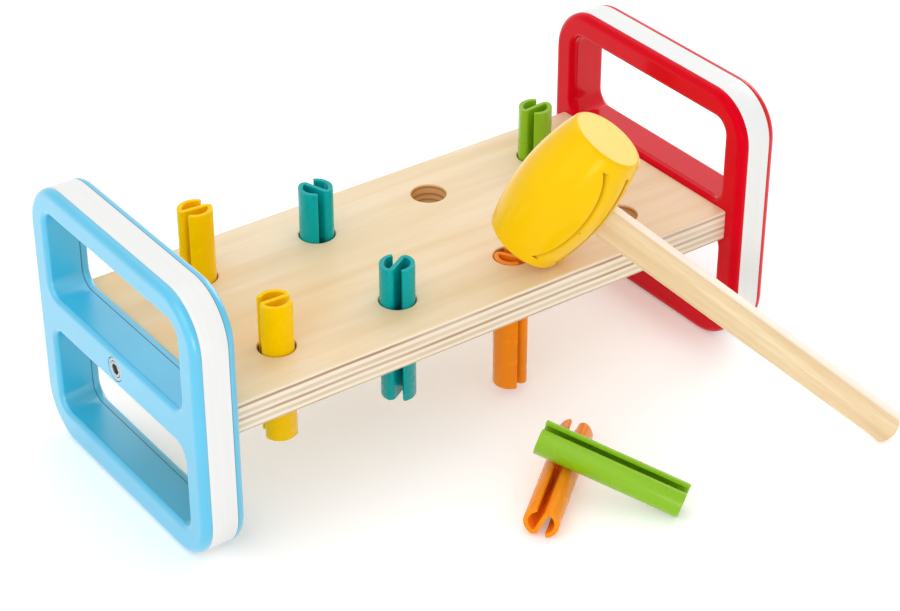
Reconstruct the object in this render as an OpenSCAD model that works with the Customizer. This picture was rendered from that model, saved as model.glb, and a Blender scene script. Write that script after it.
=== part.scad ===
// Peg pounding bench: a plywood board between two framed end panels, eight sprung pegs and a mallet.
// Millimetres, +Z up. The board runs along X, the blue end is at -X and the front is at -Y.
// The origin is on the floor, under the middle of the whole set as it is laid out.

/* [Board] */
// Length of the board, from panel to panel
board_l = 263.5; // [240:0.5:320]
// Width of the board, front to back
board_w = 119; // [100:1:124]
// Thickness of the plywood
board_t = 15; // [12:0.5:16]
// How far the board's middle lies under the middle of the panels' crossbars
board_drop = 1; // [0:0.1:1.5]
// Rounding of the board's long edges
board_edge_r = 1.2; // [0.4:0.1:3]

/* [Peg holes] */
// Bore of a peg hole
hole_d = 16.4; // [14:0.1:18]
// Distance from a board's end to the middle of the nearest hole
hole_margin = 39.6; // [30:0.1:50]
// Distance between the two rows
row_pitch = 66; // [40:1:72]
// How far the back row is set towards the red end, against the front row
row_stagger = 2; // [0:0.1:6]
// Chamfer at both mouths of a hole
hole_chamfer = 0.4; // [0.2:0.1:1.5]

/* [End panels] */
// Width of an end panel, front to back
panel_w = 135; // [128:1:160]
// Height of an end panel
panel_h = 128; // [124:1:160]
// Radius of the panel's corners
panel_r = 23; // [12:0.5:30]
// Thickness of each coloured face
face_t = 4.1; // [3.6:0.1:6]
// Thickness of the pale core between the faces
core_t = 12.2; // [10:0.1:18]
// Rounding of the faces' outer edges
face_round = 3.4; // [0.5:0.1:4]
// Height of the rail under the lower window
foot_rail_h = 14.7; // [8:0.1:20]
// Height of the bar between the two windows
crossbar_h = 16.8; // [16:0.1:20]
// Height of the rail over the upper window
top_rail_h = 12.5; // [9:0.1:18]
// Width of the rails beside the windows
side_rail_w = 12.5; // [10:0.1:20]

/* [Windows] */
// Radius of a window's corners
window_r = 7.2; // [4:0.1:15]
// Rounding of the window's edges on the faces
window_round = 2.4; // [0.5:0.1:3]
// Wall of the coloured lining in a window
liner_wall = 2.6; // [1.5:0.1:3]

/* [Fixings] */
// Shank of the end screw
screw_d = 4; // [3:0.1:5]
// Length of the screw's shank
screw_l = 58; // [45:1:70]
// Width of the screw's head
screw_head_d = 7.2; // [6:0.1:9]
// Height of the screw's head
screw_head_h = 1.8; // [1.4:0.1:2]
// Width across the flats of the key socket in the head
socket_w = 4.8; // [2:0.1:5]
// Depth of the key socket
socket_depth = 1.4; // [0.6:0.1:1.4]
// Width of the cup washer round the head
washer_d = 10.6; // [9:0.1:12]
// Thickness of the cup washer's floor, under the head
washer_t = 0.8; // [0.5:0.1:1]
// Depth of the washer's recess in the crossbar
washer_recess = 2.8; // [2.6:0.1:3]
// Width of a locating dowel
dowel_d = 6; // [4:0.1:7]
// Length of a locating dowel
dowel_l = 30; // [24:1:36]
// Distance between the two dowels of one end
dowel_pitch = 84; // [30:1:96]
// How far a dowel goes into its panel
dowel_in_panel = 12; // [8:0.5:13]

/* [Pegs] */
// Length of a peg
peg_l = 67; // [58:0.5:70]
// Wall of a peg
peg_wall = 2.1; // [1.4:0.1:2.8]
// Width of the two slots along a peg
peg_slot = 4.1; // [2:0.1:4.5]
// Inside radius of the bends between a peg's web and its walls
bend_inside_r = 0.4; // [0.2:0.05:1]

/* [Seated pegs] */
// How far the yellow peg of the back row stands above the board
yellow_back_up = 34.7; // [0:0.1:50]
// How far the yellow peg of the front row stands above the board
yellow_front_up = 23.4; // [0:0.1:50]
// How far the teal peg of the back row stands above the board
teal_back_up = 24.3; // [0:0.1:50]
// How far the teal peg of the front row stands above the board
teal_front_up = 18.6; // [0:0.1:50]
// How far the green peg of the back row stands above the board
green_back_up = 26.2; // [0:0.1:50]
// How far the orange peg of the front row stands above the board
orange_front_up = 0.3; // [0:0.1:4]
// Turn of the yellow peg of the back row
yellow_back_turn = -68; // [-90:1:90]
// Turn of the yellow peg of the front row
yellow_front_turn = 60; // [-90:1:90]
// Turn of the teal peg of the back row
teal_back_turn = -10; // [-90:1:90]
// Turn of the teal peg of the front row
teal_front_turn = -33; // [-90:1:90]
// Turn of the green peg of the back row
green_back_turn = -57; // [-90:1:90]
// Turn of the orange peg of the front row
orange_front_turn = 4; // [-90:1:90]

/* [Loose pegs] */
// Middle of the loose orange peg along X
loose_x = 0; // [-60:0.5:10]
// Middle of the loose orange peg along Y
loose_y = -107.3; // [-125:0.1:-105]
// Heading of the loose orange peg
loose_orange_heading = 39.1; // [20:0.1:50]
// Roll of the loose orange peg
loose_orange_roll = 89; // [-90:1:90]
// Heading of the loose green peg, from its low end
loose_green_heading = 125; // [110:0.1:140]
// Roll of the loose green peg
loose_green_roll = -88; // [-90:1:90]
// Where the green peg crosses the orange one, from the orange peg's middle
cross_on_orange = 1.6; // [-10:0.1:10]
// Where the green peg crosses the orange one, from the green peg's low end
cross_on_green = 57.5; // [50:0.5:58]

/* [Mallet] */
// Length of the mallet's head
head_l = 63.6; // [58:0.1:80]
// Width of the head at its middle
head_mid_d = 44; // [40:0.1:50]
// Width of the head's striking ends
head_end_d = 34; // [28:0.1:38]
// Rounding of the rim of the striking ends
head_round = 2.2; // [0.5:0.1:3]
// Width of the handle
handle_w = 15.6; // [12:0.1:20]
// Thickness of the handle
handle_t = 8.2; // [7:0.1:11]
// Reach of the handle, from the head's axis
handle_reach = 182.5; // [170:0.5:200]
// Rounding of the handle's long edges
handle_edge_r = 2.6; // [1:0.1:3]
// Radius of the crown on the handle's end
handle_crown_r = 11; // [10.5:0.1:30]
// How far the handle's socket goes past the head's axis
socket_past_axis = 11; // [4:0.5:13]
// Outer edge of the two moulded grooves next to the handle
groove_near = 10.4; // [8:0.1:12]
// Outer edge of the two moulded grooves further out
groove_far = 18.2; // [14:0.1:18.5]
// Width of a groove across the head's surface
groove_w = 2.2; // [1:0.1:3]
// Length of a groove
groove_l = 52; // [30:0.5:52]
// Depth of a groove, along the handle
groove_depth = 3; // [1:0.1:4]

/* [Mallet at rest] */
// Where the head's rim rests on the board, past the orange peg
rest_past_peg = 12.8; // [8:0.1:18]
// Where the head's rim rests on the board, from the board's front edge
rest_inset = 12.6; // [10:0.1:15]
// Heading of the handle
mallet_heading = -49.5; // [-56:0.1:-40]
// Sideways tilt of the head
mallet_tilt = -4.9; // [-12:0.1:5]

/* [Clearances] */
// Radial gap of a peg in its hole
peg_gap = 0.4; // [0.2:0.05:0.6]
// Gap between pieces that are clamped or glued together
seat_gap = 0.05; // [0.02:0.01:0.1]
// Gap between the core and the window linings
liner_gap = 0.2; // [0.1:0.05:0.4]
// Radial gap round a screw or washer in its clearance hole
screw_gap = 0.3; // [0.1:0.05:0.5]
// Gap under what lies loose on something else
rest_gap = 0.2; // [0.1:0.05:0.4]

/* [Hidden] */
$fn = 72;
over = 1;

wood = "#edd3ad";
pale = "#ebece9";
blue = "#5fc3e6";
red = "#d8101c";
steel = "#c4c6c8";
beech = "#dcb88a";
yellow = "#fbc405";
teal = "#06a09a";
green = "#93c31f";
orange = "#f28c1e";

// Panel stack, from the board outwards
panel_t = 2 * face_t + core_t;
seam_x = face_t + core_t;
window_w = panel_w - 2 * side_rail_w;
window_h = (panel_h - foot_rail_h - crossbar_h - top_rail_h) / 2;
lower_window_z = foot_rail_h + window_h / 2;
crossbar_z = foot_rail_h + window_h + crossbar_h / 2;
upper_window_z = crossbar_z + crossbar_h / 2 + window_h / 2;
window_zs = [lower_window_z, upper_window_z];
board_z = crossbar_z - board_drop;
board_top = board_z + board_t / 2;
washer_seat = panel_t - washer_recess;
head_seat = washer_seat + washer_t;
screw_hole_d = screw_d + 2 * screw_gap;
recess_d = washer_d + 2 * screw_gap;
dowel_ys = [-dowel_pitch / 2, dowel_pitch / 2];

// Pegs
row_holes = 4;
peg_d = hole_d - 2 * peg_gap;
peg_r = peg_d / 2;
wall_r = peg_r - peg_wall / 2;
peg_bend_r = bend_inside_r + peg_wall / 2;
lip_turn = asin(peg_slot / 2 / peg_r);
web_turn = asin((peg_slot + peg_wall) / 2 / wall_r);
bend_reach = sqrt((wall_r - peg_bend_r) ^ 2 - peg_bend_r ^ 2);
bend_turn = atan2(peg_bend_r, bend_reach);
wall_from = lip_turn - 90;
wall_to = 90 - web_turn - bend_turn;
bend_out_r = peg_bend_r + peg_wall / 2;
sector_steps = 6;
hole_pitch = (board_l - 2 * hole_margin) / (row_holes - 1);
function hole_x(i, row) = (i - (row_holes - 1) / 2) * hole_pitch + row * row_stagger / 2;

// Reach of a peg's section from its axis, towards one direction of the section
function section_reach(turn) =
    let (toward = turn - 180 * floor((turn - wall_from) / 180))
    toward <= wall_to ? peg_r
    : max((wall_r - peg_bend_r) * cos(toward - wall_to) + bend_out_r, peg_r * cos(wall_from + 180 - toward));

// Halving search for the angle at which a falling measure reaches zero
function settle(measure, low, high, steps = 40) =
    let (middle = (low + high) / 2)
    steps == 0 ? middle
    : measure(middle) > 0 ? settle(measure, middle, high, steps - 1)
    : settle(measure, low, middle, steps - 1);

// Loose green peg: low end on the floor, side on the orange peg
steepest_rise = 60;
cross_turn = loose_green_heading - loose_orange_heading;
loose_z = section_reach(loose_orange_roll) + rest_gap;
function green_low_z(rise) = section_reach(-loose_green_roll) * cos(rise) + rest_gap;
function crossing_reach(rise) =
    section_reach(loose_orange_roll - atan2(sin(rise), cos(rise) * sin(cross_turn)))
    + section_reach(atan2(sin(rise) * cos(cross_turn), sin(cross_turn)) - loose_green_roll)
    + rest_gap;
function crossing_lift(rise) =
    let (flat = sin(cross_turn) * cos(rise))
    crossing_reach(rise) * norm([sin(rise), flat]) / flat;
green_rise = settle(
    function (rise) loose_z + crossing_lift(rise) - green_low_z(rise) - cross_on_green * sin(rise),
    0, steepest_rise);
loose_along = [cos(loose_orange_heading), sin(loose_orange_heading)];
green_along = [cos(loose_green_heading), sin(loose_green_heading)];
green_low = [loose_x, loose_y] + cross_on_orange * loose_along
    - cross_on_green * cos(green_rise) * green_along;

// Mallet head profile
head_half = head_l / 2;
head_end_r = head_end_d / 2;
head_mid_r = head_mid_d / 2;
head_bulge = head_mid_r - head_end_r;
head_arc_r = (head_half ^ 2 + head_bulge ^ 2) / (2 * head_bulge);
rim_half = head_half - head_round;
rim_arc_r = head_arc_r - head_round;
rim_turn = asin(rim_half / rim_arc_r);
rim_r = head_mid_r - head_arc_r + rim_arc_r * cos(rim_turn);
barrel_half = head_arc_r * sin(rim_turn);
function groove_span(edge) = groove_w * sqrt(1 - (edge / head_mid_r) ^ 2);

// Mallet at rest: rim on the board, handle's end on the floor
flattest_lean = 5;
steepest_lean = 85;
rest_x = hole_x(2, -1) + rest_past_peg;
rest_y = rest_inset - board_w / 2;
function head_axis(lean) =
    [cos(mallet_heading) * sin(lean) * cos(mallet_tilt) + sin(mallet_heading) * sin(mallet_tilt),
     sin(mallet_heading) * sin(lean) * cos(mallet_tilt) - cos(mallet_heading) * sin(mallet_tilt),
     cos(lean) * cos(mallet_tilt)];
function handle_axis(lean) =
    [cos(lean) * cos(mallet_heading), cos(lean) * sin(mallet_heading), -sin(lean)];
function rim_drop(lean) = norm([head_axis(lean).x, head_axis(lean).y]);
function head_centre(lean) =
    [rest_x, rest_y, board_top + rest_gap + head_round] + rim_half * head_axis(lean)
    - rim_r * ([0, 0, -1] + head_axis(lean).z * head_axis(lean)) / rim_drop(lean);
handle_half_w = handle_w / 2;
handle_half_t = handle_t / 2;
crown_drop = handle_crown_r - sqrt(handle_crown_r ^ 2 - handle_half_w ^ 2);
function edge_drop(lean) =
    let (up = cos(lean) * cos(mallet_tilt), side = abs(cos(lean) * sin(mallet_tilt)))
    (handle_half_w - handle_edge_r) * up + (handle_half_t - handle_edge_r) * side
    + handle_edge_r * norm([up, side]);
mallet_lean = settle(
    function (lean)
        head_centre(lean).z - (handle_reach - crown_drop) * sin(lean) - edge_drop(lean) - rest_gap,
    flattest_lean, steepest_lean);
mallet_at = head_centre(mallet_lean);

// The set's middle, front to back: from the handle's crowned end to the back of the panels
crown_axis_y = norm([handle_axis(mallet_lean).y, head_axis(mallet_lean).y]);
side_axis_y = abs(cross(head_axis(mallet_lean), handle_axis(mallet_lean)).y);
front_y = mallet_at.y + (handle_reach - handle_crown_r) * handle_axis(mallet_lean).y
    - handle_crown_r * crown_axis_y - handle_half_t * side_axis_y;
set_y = -(front_y + panel_w / 2) / 2;

// Moves a piece from the bench's own middle to the set's middle
module in_set() {
    translate([0, set_y, 0])
        children();
}

// Puts a panel piece, drawn with its thickness up from the board's end, at the red end
module at_red_end() {
    in_set()
        translate([board_l / 2, 0, 0])
            rotate([90, 0, 90])
                children();
}

// The same at the blue end
module at_blue_end() {
    mirror([1, 0, 0])
        at_red_end()
            children();
}

// Block with rounded corners whose edge has the drawn profile, from a corner's centre outwards
module edged_block(w, h, r, t) {
    for (side = [0:3]) {
        run = side % 2 == 0 ? h : w;
        across = side % 2 == 0 ? w : h;
        rotate(90 * side)
            translate([across / 2 - r, run / 2 - r, 0]) {
                rotate_extrude(angle = 90)
                    children();
                rotate([90, 0, 0])
                    linear_extrude(run - 2 * r)
                        children();
            }
    }
    linear_extrude(t)
        square([w - 2 * r, h - 2 * r], center = true);
}

// Flat shape with rounded corners
module rounded_outline(w, h, r) {
    square([w - 2 * r, h], center = true);
    square([w, h - 2 * r], center = true);
    for (x = [-1, 1], y = [-1, 1])
        translate([x * (w / 2 - r), y * (h / 2 - r)])
            circle(r);
}

// A window's outline, widened all round
module window_outline(margin) {
    rounded_outline(window_w + 2 * margin, window_h + 2 * margin, window_r + margin);
}

// Face of a panel, from 0 up, its upper outer edge rounded
module face_slab() {
    translate([0, panel_h / 2, 0])
        edged_block(panel_w, panel_h, panel_r, face_t) {
            difference() {
                square([panel_r, face_t]);
                translate([panel_r - face_round, face_t - face_round])
                    difference() {
                        square(face_round + over);
                        circle(face_round);
                    }
            }
        }
}

// Cutter for one window: depth deep below the face's level, with a rounded mouth
module window_cut(depth) {
    translate([0, 0, -depth])
        edged_block(window_w, window_h, window_r, depth + over) {
            union() {
                square([window_r, depth + over]);
                difference() {
                    translate([0, depth - window_round])
                        square([window_r + window_round, window_round + over]);
                    translate([window_r + window_round, depth - window_round])
                        circle(window_round);
                }
            }
        }
}

// Cutters for both windows, under a face at the given level
module window_cuts(level, depth) {
    for (z = window_zs)
        translate([0, z, level])
            window_cut(depth);
}

// Hole through the crossbar, from one level to another
module crossbar_hole(y, d, from, to) {
    translate([y, crossbar_z, from])
        cylinder(d = d, h = to - from);
}

// Outer coloured shell: a face with a lining for each window
module outer_shell() {
    difference() {
        union() {
            translate([0, 0, seam_x])
                face_slab();
            for (z = window_zs)
                translate([0, z, face_t + seat_gap])
                    linear_extrude(core_t)
                        window_outline(liner_wall);
        }
        window_cuts(panel_t, panel_t);
        crossbar_hole(0, screw_hole_d, -over, panel_t + over);
        crossbar_hole(0, recess_d, washer_seat, panel_t + over);
    }
}

// Pale frame between the two faces
module core_frame() {
    difference() {
        translate([0, panel_h / 2, face_t + seat_gap])
            linear_extrude(core_t - 2 * seat_gap)
                rounded_outline(panel_w, panel_h, panel_r);
        for (z = window_zs)
            translate([0, z, 0])
                linear_extrude(panel_t)
                    window_outline(liner_wall + liner_gap);
        crossbar_hole(0, screw_hole_d, 0, panel_t);
        for (y = dowel_ys)
            crossbar_hole(y, dowel_d + 2 * seat_gap, 0, dowel_in_panel + seat_gap);
    }
}

// Inner coloured plate, against the board's end
module inner_plate() {
    difference() {
        translate([0, 0, face_t])
            mirror([0, 0, 1])
                face_slab();
        mirror([0, 0, 1])
            window_cuts(0, face_t + over);
        crossbar_hole(0, screw_hole_d, -over, panel_t);
        for (y = dowel_ys)
            crossbar_hole(y, dowel_d + 2 * seat_gap, -over, panel_t);
    }
}

// Socket-headed screw through the crossbar into the board's end
module end_screw() {
    difference() {
        union() {
            crossbar_hole(0, screw_d, head_seat - screw_l, head_seat + over);
            crossbar_hole(0, screw_head_d, head_seat + seat_gap, head_seat + screw_head_h);
        }
        translate([0, crossbar_z, head_seat + screw_head_h - socket_depth])
            cylinder(d = socket_w / cos(30), h = socket_depth + over, $fn = 6);
    }
}

// Cup washer in the crossbar's recess, its rim level with the screw's head
module end_washer() {
    difference() {
        crossbar_hole(0, washer_d, washer_seat + seat_gap, head_seat + screw_head_h);
        crossbar_hole(0, screw_hole_d, washer_seat, panel_t);
        crossbar_hole(0, screw_head_d + 2 * screw_gap, head_seat, panel_t + over);
    }
}

// Two dowels that keep the board from turning about the screw
module end_dowels() {
    for (y = dowel_ys)
        crossbar_hole(y, dowel_d, dowel_in_panel - dowel_l, dowel_in_panel);
}

// Ring of a peg's wall thickness
module wall_ring(r) {
    difference() {
        circle(r + peg_wall / 2);
        circle(r - peg_wall / 2);
    }
}

// Part of such a ring, from one angle to another
module wall_sector(r, from, to) {
    intersection() {
        wall_ring(r);
        polygon([
            [0, 0],
            for (step = [0:sector_steps])
                let (angle = from + (to - from) * step / sector_steps)
                peg_d * [cos(angle), sin(angle)]
        ]);
    }
}

// Puts a shape at the middle of the bend at one end of the web
module at_bend() {
    rotate(90 - web_turn)
        translate([bend_reach, -peg_bend_r])
            children();
}

// Half of a peg's section: a wall, its bend and half of the web, each reaching into the next
module half_section() {
    wall_sector(wall_r, wall_from, wall_to);
    at_bend()
        wall_sector(peg_bend_r, -bend_turn, 90);
    intersection() {
        at_bend()
            circle(bend_out_r);
        union() {
            wall_ring(wall_r);
            rotate(90 - web_turn)
                translate([0, -peg_wall / 2])
                    square([bend_reach + peg_bend_r / 2, peg_wall]);
        }
    }
}

// S-shaped section of a peg: two walls that bend into one web
module peg_section() {
    for (half = [0, 1])
        rotate(180 * half)
            half_section();
    rotate(90 - web_turn)
        square([2 * bend_reach, peg_wall], center = true);
}

// Peg from 0 up, as moulded or turned end for end
module peg(upside_down) {
    linear_extrude(peg_l)
        mirror([upside_down ? 1 : 0, 0, 0])
            peg_section();
}

// Peg in a hole of the board
module seated_peg(column, row, up, turn, upside_down) {
    in_set()
        translate([hole_x(column, row), row * row_pitch / 2, board_top + up - peg_l])
            rotate(turn)
                peg(upside_down);
}

// Barrel of the mallet's head about Z
module head_barrel() {
    rotate_extrude()
        intersection() {
            union() {
                intersection() {
                    translate([head_mid_r - head_arc_r, 0])
                        circle(head_arc_r, $fn = 4 * $fn);
                    translate([0, -barrel_half])
                        square([head_mid_r, 2 * barrel_half]);
                }
                translate([0, -head_half])
                    square([rim_r, head_l]);
                for (end = [-1, 1])
                    translate([rim_r, end * rim_half])
                        circle(head_round);
            }
            translate([0, -head_half])
                square([head_mid_r, head_l]);
        }
}

// Section of the handle, along X
module handle_section(gap) {
    rotate([90, 0, 90])
        linear_extrude(handle_reach + socket_past_axis)
            rounded_outline(handle_t + 2 * gap, handle_w + 2 * gap, handle_edge_r + gap);
}

// Puts a mallet piece, drawn with the head along Z and the handle along X, where it rests
module at_rest() {
    in_set()
        translate(mallet_at)
            rotate([mallet_tilt, mallet_lean, mallet_heading])
                children();
}

// Pilot hole and dowel holes in a board's end
module board_end_holes() {
    crossbar_hole(0, screw_d + 2 * seat_gap, head_seat - screw_l - seat_gap, over);
    for (y = dowel_ys)
        crossbar_hole(y, dowel_d + 2 * seat_gap, dowel_in_panel - dowel_l - seat_gap, over);
}

module bench_board() {
    color(wood)
        in_set()
            difference() {
                translate([-board_l / 2 + seat_gap, 0, board_z])
                    rotate([90, 0, 90])
                        linear_extrude(board_l - 2 * seat_gap)
                            rounded_outline(board_w, board_t, board_edge_r);
                for (i = [0:row_holes - 1], row = [-1, 1])
                    translate([hole_x(i, row), row * row_pitch / 2, board_z]) {
                        cylinder(d = hole_d, h = board_t + 2 * over, center = true);
                        for (up = [0, 1])
                            mirror([0, 0, up])
                                translate([0, 0, board_t / 2 - hole_chamfer])
                                    cylinder(
                                        d1 = hole_d,
                                        d2 = hole_d + 2 * (hole_chamfer + over),
                                        h = hole_chamfer + over);
                    }
                for (end = [0, 1])
                    mirror([end, 0, 0])
                        translate([board_l / 2, 0, 0])
                            rotate([90, 0, 90])
                                board_end_holes();
            }
}

module blue_outer_shell() {
    color(blue)
        at_blue_end()
            outer_shell();
}

module blue_core_frame() {
    color(pale)
        at_blue_end()
            core_frame();
}

module blue_inner_plate() {
    color(blue)
        at_blue_end()
            inner_plate();
}

module blue_screw() {
    color(steel)
        at_blue_end()
            end_screw();
}

module blue_washer() {
    color(steel)
        at_blue_end()
            end_washer();
}

module blue_dowels() {
    color(beech)
        at_blue_end()
            end_dowels();
}

module red_outer_shell() {
    color(red)
        at_red_end()
            outer_shell();
}

module red_core_frame() {
    color(pale)
        at_red_end()
            core_frame();
}

module red_inner_plate() {
    color(red)
        at_red_end()
            inner_plate();
}

module red_screw() {
    color(steel)
        at_red_end()
            end_screw();
}

module red_washer() {
    color(steel)
        at_red_end()
            end_washer();
}

module red_dowels() {
    color(beech)
        at_red_end()
            end_dowels();
}

module yellow_peg_back() {
    color(yellow)
        seated_peg(0, 1, yellow_back_up, yellow_back_turn, false);
}

module yellow_peg_front() {
    color(yellow)
        seated_peg(0, -1, yellow_front_up, yellow_front_turn, true);
}

module teal_peg_back() {
    color(teal)
        seated_peg(1, 1, teal_back_up, teal_back_turn, true);
}

module teal_peg_front() {
    color(teal)
        seated_peg(1, -1, teal_front_up, teal_front_turn, false);
}

module green_peg_back() {
    color(green)
        seated_peg(3, 1, green_back_up, green_back_turn, false);
}

module orange_peg_front() {
    color(orange)
        seated_peg(2, -1, orange_front_up, orange_front_turn, true);
}

module orange_peg_loose() {
    color(orange)
        in_set()
            translate([loose_x, loose_y, loose_z])
                rotate([0, 90, loose_orange_heading])
                    rotate(loose_orange_roll)
                        translate([0, 0, -peg_l / 2])
                            peg(true);
}

module green_peg_loose() {
    color(green)
        in_set()
            translate([green_low.x, green_low.y, green_low_z(green_rise)])
                rotate([0, 90 - green_rise, loose_green_heading])
                    rotate(loose_green_roll)
                        peg(false);
}

module mallet_head() {
    color(yellow)
        at_rest()
            difference() {
                head_barrel();
                translate([-socket_past_axis - seat_gap, 0, 0])
                    handle_section(seat_gap);
                for (side = [0, 1])
                    for (edge = [groove_near, groove_far])
                        mirror([0, side, 0])
                            difference() {
                                translate([0, edge - groove_span(edge), -groove_l / 2])
                                    cube([head_mid_d, groove_span(edge), groove_l]);
                                translate([-groove_depth, 0, 0])
                                    head_barrel();
                            }
            }
}

module mallet_handle() {
    color(beech)
        at_rest()
            intersection() {
                translate([-socket_past_axis, 0, 0])
                    handle_section(0);
                union() {
                    translate([handle_reach - handle_crown_r, 0, 0])
                        rotate([90, 0, 0])
                            cylinder(r = handle_crown_r, h = handle_t, center = true);
                    translate([-socket_past_axis, -handle_half_t, -handle_half_w])
                        cube([handle_reach + socket_past_axis - handle_crown_r, handle_t, handle_w]);
                }
            }
}

bench_board();
blue_outer_shell();
blue_core_frame();
blue_inner_plate();
blue_screw();
blue_washer();
blue_dowels();
red_outer_shell();
red_core_frame();
red_inner_plate();
red_screw();
red_washer();
red_dowels();
yellow_peg_back();
yellow_peg_front();
teal_peg_back();
teal_peg_front();
green_peg_back();
orange_peg_front();
orange_peg_loose();
green_peg_loose();
mallet_head();
mallet_handle();
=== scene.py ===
# Looks of the peg pounding bench: materials, softened edges, light, floor and camera.
import math

import bpy
import numpy as np
from mathutils import Matrix, Vector


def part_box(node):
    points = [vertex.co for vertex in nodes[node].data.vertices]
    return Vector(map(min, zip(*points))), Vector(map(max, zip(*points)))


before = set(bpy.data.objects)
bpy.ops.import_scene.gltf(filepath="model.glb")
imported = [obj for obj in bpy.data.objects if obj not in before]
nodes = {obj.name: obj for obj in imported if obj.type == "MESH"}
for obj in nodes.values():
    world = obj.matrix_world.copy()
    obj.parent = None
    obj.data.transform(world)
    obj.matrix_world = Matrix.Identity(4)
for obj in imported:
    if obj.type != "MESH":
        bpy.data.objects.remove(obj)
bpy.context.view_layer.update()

# Corners of the board, and the middle of its length and width at floor level
board_low, board_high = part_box("bench_board")
bench_middle = (board_low + board_high) / 2
bench_middle.z = 0.0

# Colours, as 8-bit sRGB
BIRCH_LIGHT = (246, 225, 192)
BIRCH_DARK = (230, 201, 152)
BIRCH_WARM = (240, 198, 138)
PLY_PALE = (246, 232, 210)
PLY_GREY = (218, 198, 170)
PLY_BROWN = (176, 138, 104)
# Ply colours in the bores, browner and warmer as painted shade and bounce light
BORE_SHADED_LIGHT = (226, 182, 124)
BORE_SHADED_DARK = (176, 112, 52)
BEECH_LIGHT = (242, 219, 180)
BEECH_DARK = (222, 190, 142)
# Painted highlight on the handle's narrow sides
BEECH_SIDE_HIGHLIGHT = (255, 246, 232)
BLUE = (44, 186, 226)
RED = (218, 4, 28)
PALE = (238, 239, 237)
YELLOW = (248, 198, 0)
# Painted shade in the mallet head's grooves
YELLOW_GROOVE_SHADE = (196, 128, 0)
PEG_YELLOW = (255, 202, 0)
TEAL = (0, 164, 164)
GREEN = (142, 192, 26)
ORANGE = (255, 150, 28)
STEEL = (190, 202, 206)
# Painted shade in the screws' key sockets
STEEL_SOCKET_SHADE = (104, 110, 108)
FLOOR = (250, 250, 250)
WHITE = (255, 255, 255)

# Share of a colour's light that is left where it is darker
CLOUD_SHADE = 0.96
# In the seam, this darkening is painted shade in the gap between shell and plate
SEAM_SHADE = 0.45
RIM_SHADE = 0.965
STEEL_SHADE = 0.85

# Plies down the board's cut sides and its bores, the bores' plies browner and warmer as painted shade
# and bounce light: depth as a share of the thickness, and colour
PLY_STOPS = (
    (0.06, PLY_PALE), (0.09, PLY_BROWN), (0.15, PLY_BROWN), (0.18, PLY_PALE),
    (0.28, PLY_PALE), (0.31, PLY_GREY), (0.40, PLY_GREY), (0.43, PLY_PALE),
    (0.49, PLY_PALE), (0.52, PLY_BROWN), (0.58, PLY_BROWN), (0.61, PLY_PALE),
    (0.69, PLY_PALE), (0.72, PLY_GREY), (0.80, PLY_GREY), (0.83, PLY_PALE),
    (0.90, PLY_PALE), (0.93, PLY_BROWN), (0.99, PLY_BROWN),
)
# The same plies in the bores, browner and warmer as painted shade and bounce light
BORE_SHADE_STOPS = (
    (0.06, BORE_SHADED_LIGHT), (0.10, BORE_SHADED_DARK), (0.16, BORE_SHADED_LIGHT),
    (0.29, BORE_SHADED_LIGHT), (0.33, BORE_SHADED_DARK), (0.42, BORE_SHADED_LIGHT),
    (0.49, BORE_SHADED_LIGHT), (0.53, BORE_SHADED_DARK), (0.60, BORE_SHADED_LIGHT),
    (0.69, BORE_SHADED_LIGHT), (0.74, BORE_SHADED_DARK), (0.82, BORE_SHADED_LIGHT),
    (0.90, BORE_SHADED_LIGHT), (0.94, BORE_SHADED_DARK),
)
PLY_SWAY = 0.012

# Share of the long figure in the veneer's tone, and rise of a gloss's roughness in its dull patches
FLOW_SHARE = 0.55
DULL_SPREAD = 0.03

# Sizes of grain and mottling along X, Y and Z, in millimetres
VENEER_FLOW = (160, 12, 40)
VENEER_CLOUD = (110, 60, 60)
VENEER_FIBRE = (26, 0.7, 5)
VENEER_FLECK = (3.5, 0.35, 3)
PLY_WAVER = (30, 30, 200)
PLY_FADE = (45, 45, 3)
PLY_PORES = (1.2, 1.2, 0.5)
BEECH_FLOW = (190, 9, 9)
BEECH_FIBRE = (12, 0.6, 0.6)
BEECH_FLECK = (2.6, 0.3, 0.3)
MOULD_CLOUD = (24, 24, 24)
MOULD_DULL = (9, 9, 9)
MOULD_PEEL = (2, 2, 2)
RIM_STREAK = (0.7, 60, 60)
STEEL_RINGS = (0.2, 1.5, 1.5)
STEEL_SPOTS = (1.1, 1.1, 1.1)

# Lengths, in metres
MM = 0.001
VENEER_RELIEF = 0.015 * MM
BEECH_RELIEF = 0.02 * MM
PEEL_RELIEF = 0.001 * MM
RIM_RELIEF = 0.003 * MM
BORE_CLEAR = 2 * MM
WARM_REACH = 80 * MM
GLOW_DEPTH = 3 * MM
# Reach of the painted shade in the mallet head's grooves
GROOVE_SHADE_REACH = 5 * MM
# Half width of the line of painted shade at the blue panel's seam
SEAM_SHADE_HALF = 0.2 * MM
# Depth below the screw heads' faces where the painted shade in the sockets begins
SOCKET_SHADE_DEPTH = 0.3 * MM
FLOOR_SIZE = 12.0
FLOOR_DROP = 0.05 * MM
LAMP_DISTANCE = 1.6

# Rays that feel out the painted shade in grooves, and steps round a softened edge
GROOVE_SHADE_SAMPLES = 8
EDGE_SEGMENTS = 3

# Softened edges, in metres and degrees
PEG_EDGE = 0.5 * MM
HEAD_EDGE = 0.15 * MM
HANDLE_EDGE = 0.5 * MM
TRIM_EDGE = 0.15 * MM
FACE_EDGE = 0.35 * MM
WELD_REACH = 0.002 * MM
FLAT_ANGLE = 0.5
SHARP_ANGLE = 32

# Even light from all round, and the lift of the floor to the eye and in reflections
WORLD_LIGHT = 0.75
FLOOR_LIFT = 0.24
FLOOR_SHEEN = 0.3

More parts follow.
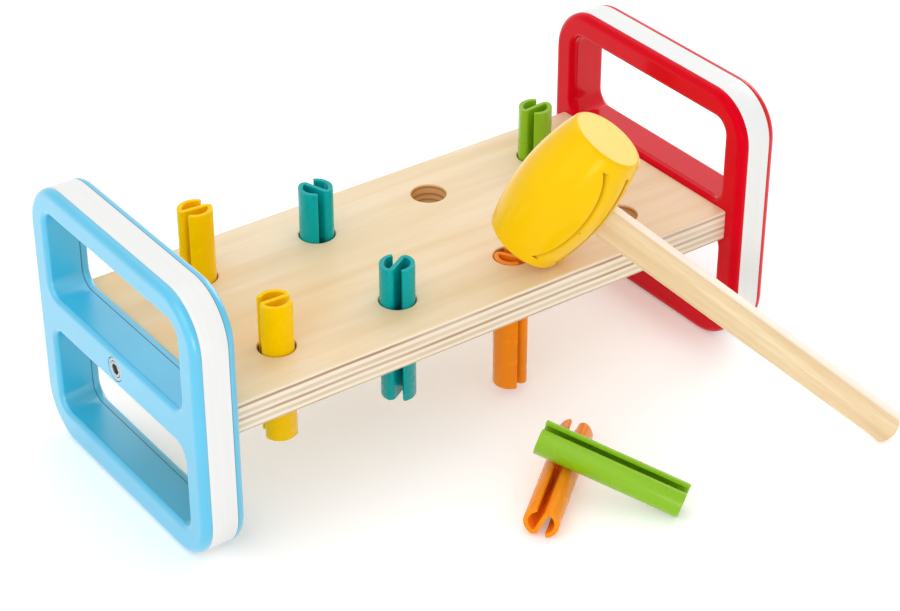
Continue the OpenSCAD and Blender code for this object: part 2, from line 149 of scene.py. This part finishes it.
# Camera, placed from the middle of the bench
CAMERA_AT = Vector((-531.5, -761.9, 637.0)) * MM
CAMERA_AZIMUTH = -35.9
CAMERA_ELEVATION = 32.76
FOCAL_PIXELS = 2441.65
PHOTO_WIDTH = 900
SENSOR = 36.0

# Names of pieces that share a look
ENDS = ("blue", "red")
FACES = {end: (f"{end}_outer_shell", f"{end}_inner_plate") for end in ENDS}
PEGS = {
    "yellow": ("yellow_peg_back", "yellow_peg_front"),
    "teal": ("teal_peg_back", "teal_peg_front"),
    "green": ("green_peg_back", "green_peg_loose"),
    "orange": ("orange_peg_front", "orange_peg_loose"),
}


def linear(colour, share=1.0):
    """The shader's linear colour for an 8-bit sRGB one, or for a share of its light."""
    coded = [c / 255 for c in colour]
    light = [c / 12.92 if c <= 0.04045 else ((c + 0.055) / 1.055) ** 2.4 for c in coded]
    return [c * share for c in light] + [1.0]


class Surface:
    """A procedural material: its node tree, and short calls that add to it.

    Constants are named as the shader's sockets are, with underscores for spaces.
    """

    def __init__(self, name, **constants):
        self.material = bpy.data.materials.new(name)
        self.material.use_nodes = True
        self.tree = self.material.node_tree
        self.shader = self.tree.nodes["Principled BSDF"]
        for socket, value in constants.items():
            self.wire(socket.replace("_", " "), value)

    def feed(self, socket, value):
        """Links a value to a socket, or sets the socket to a constant."""
        if isinstance(value, bpy.types.NodeSocket):
            self.tree.links.new(value, socket)
        else:
            socket.default_value = value

    def wire(self, socket, value):
        """Feeds a socket of the shader."""
        self.feed(self.shader.inputs[socket], value)

    def add(self, kind, inputs=None, **settings):
        """A new node, with its settings, and its inputs linked or set."""
        node = self.tree.nodes.new(kind)
        for key, value in settings.items():
            setattr(node, key, value)
        for socket, value in (inputs or {}).items():
            self.feed(node.inputs[socket], value)
        return node

    def place(self, turn=None):
        """The point on the part, in metres in the part's frame, turned if asked."""
        point = self.add("ShaderNodeTexCoord").outputs["Object"]
        if turn is None:
            return point
        return self.add("ShaderNodeMapping", {"Vector": point, "Rotation": turn}).outputs["Vector"]

    def coordinate(self, vector, axis):
        """The X, Y or Z of a vector."""
        return self.add("ShaderNodeSeparateXYZ", {"Vector": vector}).outputs[axis]

    def noise(self, point, size, detail=2.0, distortion=0.0):
        """Noise whose features have the given size along each axis, in millimetres."""
        scale = [1 / (length * MM) for length in size]
        scaled = self.add("ShaderNodeMapping", {"Vector": point, "Scale": scale}).outputs["Vector"]
        inputs = {"Vector": scaled, "Scale": 1.0, "Detail": detail, "Distortion": distortion}
        return self.add("ShaderNodeTexNoise", inputs).outputs["Fac"]

    def span(self, value, low, high, to_low=0.0, to_high=1.0):
        """A value stretched from one span to another, and held at its ends."""
        ends = {"Value": value, "From Min": low, "From Max": high, "To Min": to_low, "To Max": to_high}
        return self.add("ShaderNodeMapRange", ends).outputs["Result"]

    def calc(self, operation, first, second=0.0):
        """One or two values through a math node."""
        return self.add("ShaderNodeMath", {0: first, 1: second}, operation=operation).outputs["Value"]

    def blend(self, share, first, second):
        """Two colours, mixed by a share."""
        node = self.add("ShaderNodeMix", {0: share}, data_type="RGBA")
        colour_sockets = [socket for socket in node.inputs if socket.type == "RGBA"]
        for socket, value in zip(colour_sockets, (first, second)):
            self.feed(socket, value)
        return next(socket for socket in node.outputs if socket.type == "RGBA")

    def ramp(self, value, stops):
        """A colour ramp through (place, colour) stops."""
        node = self.add("ShaderNodeValToRGB", {"Fac": value})
        elements = node.color_ramp.elements
        while len(elements) < len(stops):
            elements.new(1.0)
        for element, (place, colour) in zip(elements, stops):
            element.position = place
            element.color = linear(colour)
        return node.outputs["Color"]

    def bump(self, height, depth):
        """Relief of the given depth, in metres, from a height between 0 and 1."""
        inputs = {"Height": height, "Distance": depth, "Strength": 1.0}
        self.wire("Normal", self.add("ShaderNodeBump", inputs).outputs["Normal"])


def main_axes(name):
    """The directions in which a part is longest, next longest and thinnest."""
    points = np.array([vertex.co for vertex in nodes[name].data.vertices])
    return [Vector(axis) for axis in np.linalg.svd(points - points.mean(0), full_matrices=False)[2]]


def turn_to_x(axis):
    """The rotation that lays an axis along X."""
    return Matrix.Identity(3).col[0].rotation_difference(axis).inverted().to_euler()


def veneer(skin, point, fibre):
    """Colour of the birch veneer: long figure, fibres and flecks along X, and a warmer blue end."""
    flow = skin.noise(point, VENEER_FLOW, detail=3, distortion=0.5)
    cloud = skin.noise(point, VENEER_CLOUD)
    fleck = skin.noise(point, VENEER_FLECK, detail=1)
    figure = skin.calc("MULTIPLY", flow, FLOW_SHARE)
    tone = skin.calc("ADD", figure, skin.calc("MULTIPLY", cloud, 1 - FLOW_SHARE))
    wood = skin.ramp(tone, [(0.33, BIRCH_DARK), (0.6, BIRCH_LIGHT)])
    wood = skin.blend(skin.span(fibre, 0.5, 0.75, to_high=0.3), wood, linear(BIRCH_DARK))
    wood = skin.blend(skin.span(fleck, 0.74, 0.82, to_high=0.12), wood, linear(PLY_BROWN))
    drift = skin.span(cloud, 0.3, 0.7, -WARM_REACH / 2, WARM_REACH / 2)
    along = skin.calc("ADD", skin.coordinate(point, "X"), drift)
    warmth = skin.span(along, board_low.x + WARM_REACH, board_low.x, to_high=0.7)
    return skin.blend(warmth, wood, linear(BIRCH_WARM))


def cut_plies(skin, point):
    """Colour of the plies where the board is cut: pale on its long sides, browner in the bores as
    painted shade and warm bounce light.
    """
    waver = skin.noise(point, PLY_WAVER)
    depth = skin.span(skin.coordinate(point, "Z"), board_high.z, board_low.z)
    depth = skin.calc("ADD", depth, skin.span(waver, 0.3, 0.7, -PLY_SWAY, PLY_SWAY))
    fade = skin.noise(point, PLY_FADE)
    sides = skin.ramp(depth, PLY_STOPS)
    sides = skin.blend(skin.span(fade, 0.35, 0.65, to_high=0.4), sides, linear(PLY_PALE))
    across = skin.coordinate(point, "Y")
    from_front = skin.span(across, board_low.y + BORE_CLEAR, board_low.y + 2 * BORE_CLEAR)
    from_back = skin.span(across, board_high.y - BORE_CLEAR, board_high.y - 2 * BORE_CLEAR)
    bore_shade = skin.calc("MULTIPLY", from_front, from_back)
    # Painted shade and warm bounce light in the bores
    plies = skin.blend(bore_shade, sides, skin.ramp(depth, BORE_SHADE_STOPS))
    pores = skin.noise(point, PLY_PORES)
    return skin.blend(skin.span(pores, 0.55, 0.8, to_high=0.16), plies, linear(PLY_BROWN))


def plywood():
    """Birch plywood: veneer on the flat faces, and the plies' edges where the wood is cut."""
    skin = Surface("birch_plywood")
    point = skin.place()
    fibre = skin.noise(point, VENEER_FIBRE)
    normal = skin.add("ShaderNodeNewGeometry").outputs["Normal"]
    flat = skin.span(skin.calc("ABSOLUTE", skin.coordinate(normal, "Z")), 0.6, 0.85)
    skin.wire("Base Color", skin.blend(flat, cut_plies(skin, point), veneer(skin, point, fibre)))
    skin.wire("Roughness", skin.span(fibre, 0.3, 0.7, 0.3, 0.42))
    skin.bump(fibre, VENEER_RELIEF)
    return skin.material


def beech(name, turn, lit_side=None):
    """Turned or planed beech: fibres along one axis, darker flecks, and a painted highlight on the
    narrow sides if asked.
    """
    skin = Surface(name)
    point = skin.place(turn)
    flow = skin.noise(point, BEECH_FLOW, distortion=0.3)
    fibre = skin.noise(point, BEECH_FIBRE)
    fleck = skin.noise(point, BEECH_FLECK, detail=1)
    wood = skin.ramp(flow, [(0.34, BEECH_DARK), (0.62, BEECH_LIGHT)])
    wood = skin.blend(skin.span(fibre, 0.45, 0.7, to_high=0.55), wood, linear(BEECH_DARK))
    wood = skin.blend(skin.span(fleck, 0.7, 0.8, to_high=0.35), wood, linear(PLY_BROWN))
    if lit_side is not None:
        # Painted highlight on the narrow sides that face along the given axis
        normal = skin.add("ShaderNodeTexCoord").outputs["Normal"]
        product = skin.add("ShaderNodeVectorMath", {0: normal, 1: lit_side}, operation="DOT_PRODUCT")
        lit_facing = skin.calc("ABSOLUTE", product.outputs["Value"])
        wood = skin.blend(skin.span(lit_facing, 0.6, 0.9, to_high=0.8), wood, linear(BEECH_SIDE_HIGHLIGHT))
    skin.wire("Base Color", wood)
    skin.wire("Roughness", skin.span(fibre, 0.3, 0.7, 0.4, 0.55))
    skin.bump(fibre, BEECH_RELIEF)
    return skin.material


def moulded(name, colour, rough, shine, tint=0.0, glow=0.0, coat=0.0, seam_shade_at=None, groove_shade=None):
    """Moulded or painted gloss: slightly uneven colour, fine orange peel and faint dull patches.

    A seam is a dark line of painted shade that far from the middle of X, and grooves get painted shade
    in the given colour.
    """
    full = linear(colour)
    skin = Surface(name, IOR=1.5, Specular_IOR_Level=shine, Coat_Weight=coat, Coat_Roughness=rough,
                   Subsurface_Weight=glow, Subsurface_Scale=GLOW_DEPTH,
                   Subsurface_Radius=[0.3 + 0.7 * c for c in full[:3]],
                   Specular_Tint=[1 + (c - 1) * tint for c in full])
    point = skin.place()
    cloud = skin.noise(point, MOULD_CLOUD)
    paint = skin.blend(skin.span(cloud, 0.35, 0.65), linear(colour, CLOUD_SHADE), full)
    # Painted shade in the gap of a seam between two parts
    if seam_shade_at is not None:
        from_middle = skin.calc("ABSOLUTE", skin.coordinate(point, "X"))
        off = skin.calc("ABSOLUTE", skin.calc("SUBTRACT", from_middle, seam_shade_at))
        paint = skin.blend(skin.span(off, SEAM_SHADE_HALF, 2 * SEAM_SHADE_HALF), linear(colour, SEAM_SHADE), paint)
    # Painted shade in grooves and hollows, where the part's own surfaces close round
    if groove_shade is not None:
        shade_occlusion = skin.add("ShaderNodeAmbientOcclusion", {"Distance": GROOVE_SHADE_REACH}, only_local=True)
        shade_occlusion.samples = GROOVE_SHADE_SAMPLES
        paint = skin.blend(skin.span(shade_occlusion.outputs["AO"], 0.45, 0.95), linear(groove_shade), paint)
    skin.wire("Base Color", paint)
    dull = skin.noise(point, MOULD_DULL, detail=4)
    skin.wire("Roughness", skin.span(dull, 0.4, 0.7, rough, rough + DULL_SPREAD))
    skin.bump(skin.noise(point, MOULD_PEEL, detail=1), PEEL_RELIEF)
    return skin.material


def painted_core():
    """Off-white paint over the core, with faint streaks along the rim."""
    skin = Surface("pale_core")
    streak = skin.noise(skin.place(), RIM_STREAK, detail=3)
    shade = linear(PALE, RIM_SHADE)
    skin.wire("Base Color", skin.blend(skin.span(streak, 0.35, 0.65), shade, linear(PALE)))
    skin.wire("Roughness", skin.span(streak, 0.3, 0.7, 0.36, 0.44))
    skin.bump(streak, RIM_RELIEF)
    return skin.material


def bright_steel():
    """Zinc-plated steel with turned rings and a few dull spots, and painted shade down in the key
    sockets.
    """
    skin = Surface("bright_steel", Metallic=1.0)
    point = skin.place()
    from_middle = skin.calc("ABSOLUTE", skin.coordinate(point, "X"))
    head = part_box("red_screw")[1].x
    # Painted shade down in the key sockets, below the screw heads' faces
    socket_shade = skin.span(from_middle, head - SOCKET_SHADE_DEPTH, head - 3 * SOCKET_SHADE_DEPTH)
    rings = skin.noise(point, STEEL_RINGS)
    spots = skin.noise(point, STEEL_SPOTS)
    plated = skin.blend(skin.span(spots, 0.4, 0.7), linear(STEEL), linear(STEEL, STEEL_SHADE))
    skin.wire("Base Color", skin.blend(socket_shade, plated, linear(STEEL_SOCKET_SHADE)))
    skin.wire("Roughness", skin.span(rings, 0.3, 0.7, 0.36, 0.5))
    return skin.material


def pale_floor():
    """A white floor that keeps shadows, a little lifted to the eye so that its open part is white."""
    skin = Surface("pale_floor", Base_Color=linear(FLOOR), Roughness=0.6, Specular_IOR_Level=0.0,
                   Emission_Color=linear(WHITE))
    ray = skin.add("ShaderNodeLightPath")
    seen = skin.calc("MULTIPLY", ray.outputs["Is Camera Ray"], FLOOR_LIFT)
    mirrored = skin.calc("MULTIPLY", ray.outputs["Is Glossy Ray"], FLOOR_SHEEN)
    skin.wire("Emission Strength", skin.calc("ADD", seen, mirrored))
    return skin.material


def dress(material, *names):
    """Gives CAD parts one material."""
    for name in names:
        nodes[name].data.materials.clear()
        nodes[name].data.materials.append(material)


def soften(width, *names):
    """Rounds the sharp edges of CAD parts."""
    for name in names:
        part = nodes[name]
        weld = part.modifiers.new("weld", "WELD")
        weld.merge_threshold = WELD_REACH
        flat = part.modifiers.new("flat_faces", "DECIMATE")
        flat.decimate_type = "DISSOLVE"
        flat.angle_limit = math.radians(FLAT_ANGLE)
        edge = part.modifiers.new("edges", "BEVEL")
        edge.width = width
        edge.segments = EDGE_SEGMENTS
        edge.limit_method = "ANGLE"
        edge.angle_limit = math.radians(SHARP_ANGLE)
        edge.harden_normals = True


def studio_world():
    """A world that is white to the eye and in reflections, and an even soft light on everything else."""
    world = bpy.data.worlds.new("studio")
    world.use_nodes = True
    tree = world.node_tree
    background = tree.nodes["Background"]
    background.inputs["Color"].default_value = linear(WHITE)
    ray = tree.nodes.new("ShaderNodeLightPath")
    shown = ray.outputs["Is Camera Ray"]
    for kind in ("Is Glossy Ray", "Is Transmission Ray"):
        either = tree.nodes.new("ShaderNodeMath")
        either.operation = "MAXIMUM"
        tree.links.new(shown, either.inputs[0])
        tree.links.new(ray.outputs[kind], either.inputs[1])
        shown = either.outputs["Value"]
    level = tree.nodes.new("ShaderNodeMapRange")
    level.inputs["To Min"].default_value = WORLD_LIGHT
    tree.links.new(shown, level.inputs["Value"])
    tree.links.new(level.outputs["Result"], background.inputs["Strength"])
    return world


def hang(name, lamp, azimuth, elevation):
    """Hangs a lamp at that azimuth and elevation, looking at the bench."""
    around = math.radians(azimuth)
    up = math.radians(elevation)
    outward = Vector((math.sin(around) * math.cos(up), -math.cos(around) * math.cos(up), math.sin(up)))
    obj = bpy.data.objects.new(name, lamp)
    obj.location = bench_middle + outward * LAMP_DISTANCE
    obj.rotation_euler = (-outward).to_track_quat("-Z", "Y").to_euler()
    bpy.context.scene.collection.objects.link(obj)
    return obj


def softbox(name, azimuth, elevation, size, radiance):
    """A square soft lamp of an even radiance, out of the camera's sight."""
    lamp = bpy.data.lights.new(name, "AREA")
    lamp.shape = "SQUARE"
    lamp.size = size
    lamp.energy = math.pi * size ** 2 * radiance
    hang(name, lamp, azimuth, elevation).visible_camera = False


def broad_sun(name, azimuth, elevation, spread, strength):
    """A very soft distant light, the same over the whole floor."""
    lamp = bpy.data.lights.new(name, "SUN")
    lamp.angle = math.radians(spread)
    lamp.energy = strength
    hang(name, lamp, azimuth, elevation)


# Board, end panels and their fixings
seam_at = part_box("red_inner_plate")[1].x
dress(plywood(), "bench_board")
# The blue panel's seam gets a line of painted shade
dress(moulded("blue_satin", BLUE, rough=0.32, shine=1.0, coat=1.0, seam_shade_at=seam_at), *FACES["blue"])
dress(moulded("red_gloss", RED, rough=0.12, shine=0.2, tint=0.95), "red_inner_plate")
dress(moulded("red_sheen", RED, rough=0.16, shine=0.6, tint=0.6), "red_outer_shell")
dress(painted_core(), "blue_core_frame", "red_core_frame")
dress(bright_steel(), *(f"{end}_{piece}" for end in ENDS for piece in ("screw", "washer")))
dress(beech("beech_dowel", turn=(0, 0, 0)), "blue_dowels", "red_dowels")

# Mallet
along_handle, across_handle = main_axes("mallet_handle")[:2]
# The handle's narrow sides get a painted highlight
dress(beech("beech_handle", turn_to_x(along_handle), lit_side=across_handle), "mallet_handle")
# The head's grooves get painted shade
head_gloss = moulded("yellow_gloss", YELLOW, rough=0.2, shine=0.35, tint=0.75, groove_shade=YELLOW_GROOVE_SHADE)
dress(head_gloss, "mallet_head")

# Pegs
for name, colour, tint in (("yellow", PEG_YELLOW, 1.0), ("teal", TEAL, 0.8), ("green", GREEN, 0.4),
                           ("orange", ORANGE, 1.0)):
    dress(moulded(f"{name}_plastic", colour, rough=0.26, shine=0.5, tint=tint, glow=0.6), *PEGS[name])

# Edges
soften(PEG_EDGE, *(name for pair in PEGS.values() for name in pair))
soften(HEAD_EDGE, "mallet_head")
soften(HANDLE_EDGE, "mallet_handle")
soften(TRIM_EDGE, *(f"{end}_{piece}" for end in ENDS for piece in ("screw", "washer", "core_frame")))
soften(FACE_EDGE, *(name for pair in FACES.values() for name in pair))

# Floor
half = FLOOR_SIZE / 2
corners = ((-half, -half), (half, -half), (half, half), (-half, half))
mesh = bpy.data.meshes.new("floor")
mesh.from_pydata([(x, y, -FLOOR_DROP) for x, y in corners], [], [range(len(corners))])
mesh.materials.append(pale_floor())
floor = bpy.data.objects.new("floor", mesh)
bpy.context.scene.collection.objects.link(floor)

# Light
bpy.context.scene.world = studio_world()
broad_sun("overhead", azimuth=160, elevation=66, spread=60, strength=0.3)
broad_sun("key_left", azimuth=-60, elevation=50, spread=50, strength=0.12)
softbox("left_fill", azimuth=-70, elevation=35, size=1.4, radiance=0.8)
softbox("right_rim", azimuth=108, elevation=27, size=0.9, radiance=2.5)
softbox("front_glint", azimuth=-30, elevation=4, size=0.5, radiance=6.0)

# Camera
camera_data = bpy.data.cameras.new("camera")
camera_data.sensor_fit = "HORIZONTAL"
camera_data.sensor_width = SENSOR
camera_data.lens = FOCAL_PIXELS * SENSOR / PHOTO_WIDTH
camera = bpy.data.objects.new("camera", camera_data)
camera.location = bench_middle + CAMERA_AT
camera.rotation_euler = (math.radians(90 - CAMERA_ELEVATION), 0.0, math.radians(CAMERA_AZIMUTH))
bpy.context.scene.collection.objects.link(camera)
bpy.context.scene.camera = camera
bpy.context.scene.view_settings.view_transform = "Standard"
